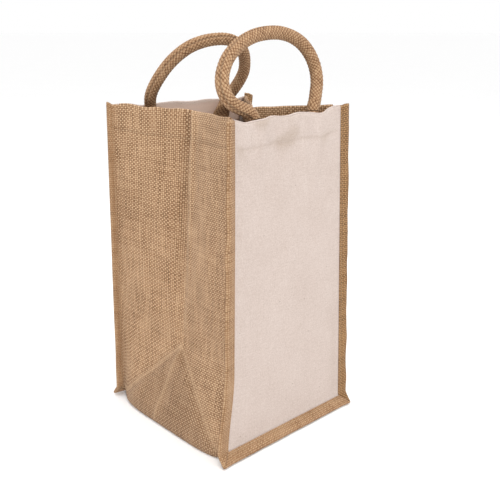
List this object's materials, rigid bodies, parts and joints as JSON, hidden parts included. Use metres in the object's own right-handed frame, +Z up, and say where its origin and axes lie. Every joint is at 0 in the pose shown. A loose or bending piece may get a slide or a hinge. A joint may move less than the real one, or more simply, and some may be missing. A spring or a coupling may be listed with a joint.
{
  "type": "wine gift bag",
  "caption": "Empty standing bag for four bottles: canvas front and back, folded jute side gussets, bound seams that stand out, and two padded rope handles.",
  "frame": {"origin": "on the floor, under the middle of the bag's base", "axes": "+Z up, -Y out of the front panel, +X along the front panel, to its right as seen from the front"},
  "size_m": [0.1925, 0.203, 0.4208],
  "materials": {
    "canvas": "natural cotton canvas, plain weave, matt",
    "jute": "woven jute, laminated inside, matt",
    "jute_tape": "folded woven jute tape, matt",
    "handle_webbing": "woven jute sleeve over rope, matt",
    "thread": "sewing thread"
  },
  "bodies": {
    "bag": {"back_binding_stitch": "thread", "back_bottom_binding": "jute_tape", "back_hem_stitch": "thread", "back_left_binding": "jute_tape", "back_left_handle_neck": "handle_webbing", "back_left_handle_tail": "handle_webbing", "back_left_tail_stitch": "thread", "back_panel": "canvas", "back_right_binding": "jute_tape", "back_right_handle_neck": "handle_webbing", "back_right_handle_tail": "handle_webbing", "back_right_tail_stitch": "thread", "base_panel": "jute", "front_binding_stitch": "thread", "front_bottom_binding": "jute_tape", "front_hem_stitch": "thread", "front_left_binding": "jute_tape", "front_left_handle_neck": "handle_webbing", "front_left_handle_tail": "handle_webbing", "front_left_tail_stitch": "thread", "front_panel": "canvas", "front_right_binding": "jute_tape", "front_right_handle_neck": "handle_webbing", "front_right_handle_tail": "handle_webbing", "front_right_tail_stitch": "thread", "left_gusset": "jute", "left_hem_stitch": "thread", "right_gusset": "jute", "right_hem_stitch": "thread"},
    "front_handle": {"front_handle_cover": "handle_webbing", "front_handle_rope": "jute", "front_handle_seam": "thread"},
    "back_handle": {"back_handle_cover": "handle_webbing", "back_handle_rope": "jute", "back_handle_seam": "thread"}
  },
  "joints": [
    {"name": "front_handle_swing", "type": "hinge", "parent": "bag", "child": "front_handle", "pos_m": [0.003, -0.07989, 0.342], "axis": [0.9948, 0.102, 0], "range_deg": [-38, 165], "deforming": ["front_left_handle_neck", "front_right_handle_neck"]},
    {"name": "back_handle_swing", "type": "hinge", "parent": "bag", "child": "back_handle", "pos_m": [0.003, 0.07989, 0.342], "axis": [-0.9948, 0.102, 0], "range_deg": [-15, 170], "deforming": ["back_left_handle_neck", "back_right_handle_neck"]}
  ]
}
